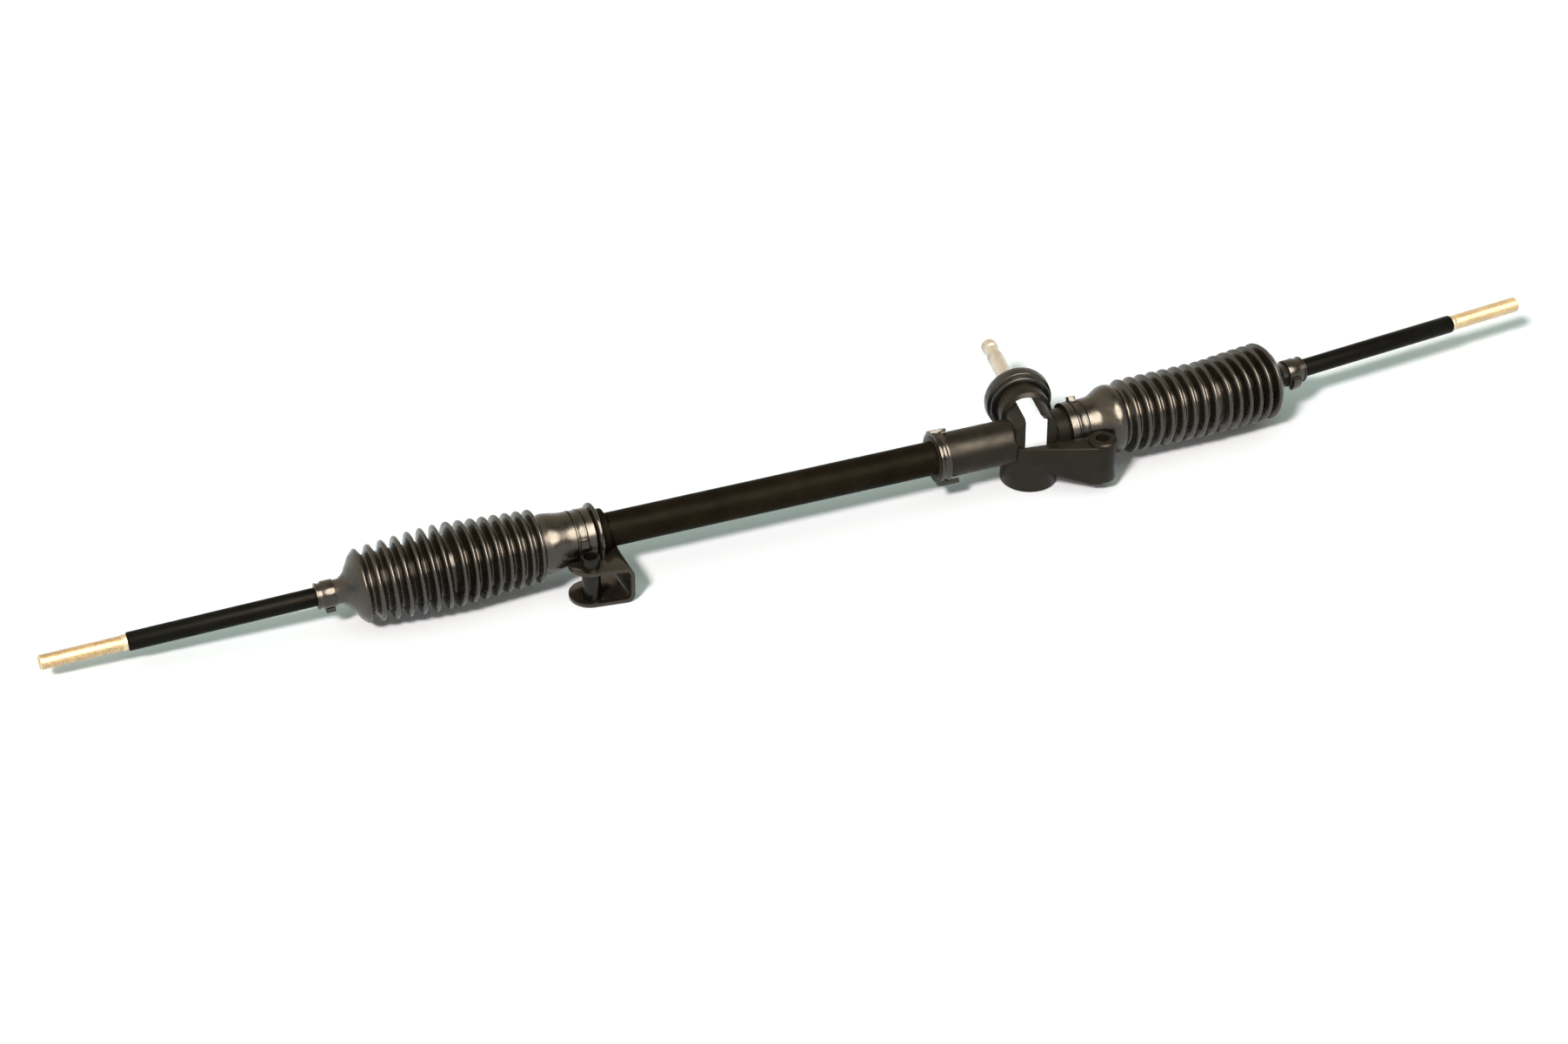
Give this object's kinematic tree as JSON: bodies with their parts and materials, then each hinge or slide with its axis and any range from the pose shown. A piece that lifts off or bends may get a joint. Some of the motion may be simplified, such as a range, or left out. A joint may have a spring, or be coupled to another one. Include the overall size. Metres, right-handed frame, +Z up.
{
  "type": "steering rack",
  "caption": "Rack and pinion steering gear with folded rubber boots, threaded tie rods, a pressed tube bracket, a bolt lug and a splined input shaft.",
  "frame": {"origin": "centre of the bolt hole of the housing lug, at the lug's lower face", "axes": "+X along the rack towards the pinion end, +Z up along the bolt hole, +Y to the pinion shaft's side"},
  "size_m": [1.2123, 0.1586, 0.077],
  "materials": {
    "casting_paint": "satin black paint on a casting",
    "tube_paint": "gloss black paint",
    "bracket_paint": "gloss black paint on pressed steel",
    "rod_paint": "satin black coating",
    "rubber": "satin black rubber",
    "cap_rubber": "satin black rubber",
    "clamp_steel": "black coated band steel",
    "bright_steel": "machined bright steel",
    "rack_steel": "ground steel",
    "bearing_steel": "polished bearing steel",
    "bronze": "sintered bronze",
    "acetal": "natural acetal",
    "spring_steel": "dark spring steel",
    "seal_rubber": "matt black rubber"
  },
  "bodies": {
    "housing": {"pinion_housing": "casting_paint", "rack_tube": "tube_paint", "tube_end_sleeve": "tube_paint", "rack_bush": "acetal", "tube_bracket": "bracket_paint", "bracket_spacer": "bracket_paint", "ring_clamp": "clamp_steel", "bearing_outer_race": "bearing_steel", "pinion_lower_bush": "bronze", "pinion_circlip": "spring_steel", "pinion_seal": "seal_rubber", "pinion_dust_cap": "cap_rubber", "rack_guide": "spring_steel", "guide_liner": "acetal", "guide_ring": "seal_rubber", "guide_spring": "spring_steel", "guide_plug": "casting_paint", "left_boot": "rubber", "right_boot": "rubber", "left_boot_clamp": "clamp_steel", "right_boot_clamp": "clamp_steel"},
    "rack": {"rack_bar": "rack_steel", "left_lock_washer": "spring_steel", "right_lock_washer": "spring_steel", "left_socket": "spring_steel", "right_socket": "spring_steel"},
    "pinion": {"pinion_shaft": "bright_steel", "bearing_inner_race": "bearing_steel"},
    "ball_cage": {"bearing_balls": "bearing_steel"},
    "left_seat": {"left_ball_seat": "acetal"},
    "left_boot_end": {"left_boot_clip": "clamp_steel"},
    "left_rod": {"left_tie_rod": "rod_paint"},
    "right_seat": {"right_ball_seat": "acetal"},
    "right_boot_end": {"right_boot_clip": "clamp_steel"},
    "right_rod": {"right_tie_rod": "rod_paint"}
  },
  "joints": [
    {"name": "rack_slide", "type": "slide", "parent": "housing", "child": "rack", "axis": [1, 0, 0], "range_m": [-0.066, 0.066], "deforming": ["left_boot", "right_boot"]},
    {"name": "pinion_turn", "type": "hinge", "parent": "housing", "child": "pinion", "pos_m": [-0.046, 0.0323, 0.0415], "axis": [0.1392, 0.9903, 0], "range_deg": [-545, 545]},
    {"name": "cage_turn", "type": "hinge", "parent": "housing", "child": "ball_cage", "pos_m": [-0.046, 0.0323, 0.0415], "axis": [0.1392, 0.9903, 0], "range_deg": [-208, 208]},
    {"name": "left_rod_fore_aft", "type": "hinge", "parent": "rack", "child": "left_seat", "pos_m": [-0.518, 0.0323, 0.028], "axis": [0, 0, 1], "range_deg": [-9, 16], "deforming": ["left_boot"]},
    {"name": "left_rod_up_down", "type": "hinge", "parent": "left_seat", "child": "left_boot_end", "pos_m": [-0.518, 0.0323, 0.028], "axis": [0, 1, 0], "range_deg": [-8, 15.5], "deforming": ["left_boot"]},
    {"name": "left_rod_spin", "type": "hinge", "parent": "left_boot_end", "child": "left_rod", "pos_m": [-0.518, 0.0323, 0.028], "axis": [-0.9955, 0.0661, -0.068], "continuous": true},
    {"name": "right_rod_fore_aft", "type": "hinge", "parent": "rack", "child": "right_seat", "pos_m": [0.1025, 0.0323, 0.028], "axis": [0, 0, 1], "range_deg": [-18.5, 6], "deforming": ["right_boot"]},
    {"name": "right_rod_up_down", "type": "hinge", "parent": "right_seat", "child": "right_boot_end", "pos_m": [0.1025, 0.0323, 0.028], "axis": [0, 1, 0], "range_deg": [-12, 12], "deforming": ["right_boot"]},
    {"name": "right_rod_spin", "type": "hinge", "parent": "right_boot_end", "child": "right_rod", "pos_m": [0.1025, 0.0323, 0.028], "axis": [0.9936, 0.1132, 0], "continuous": true}
  ],
  "couplings": [
    {"joint": "pinion_turn", "follows": "rack_slide", "rad_per_m": -142.86},
    {"joint": "cage_turn", "follows": "rack_slide", "rad_per_m": -54.209}
  ]
}
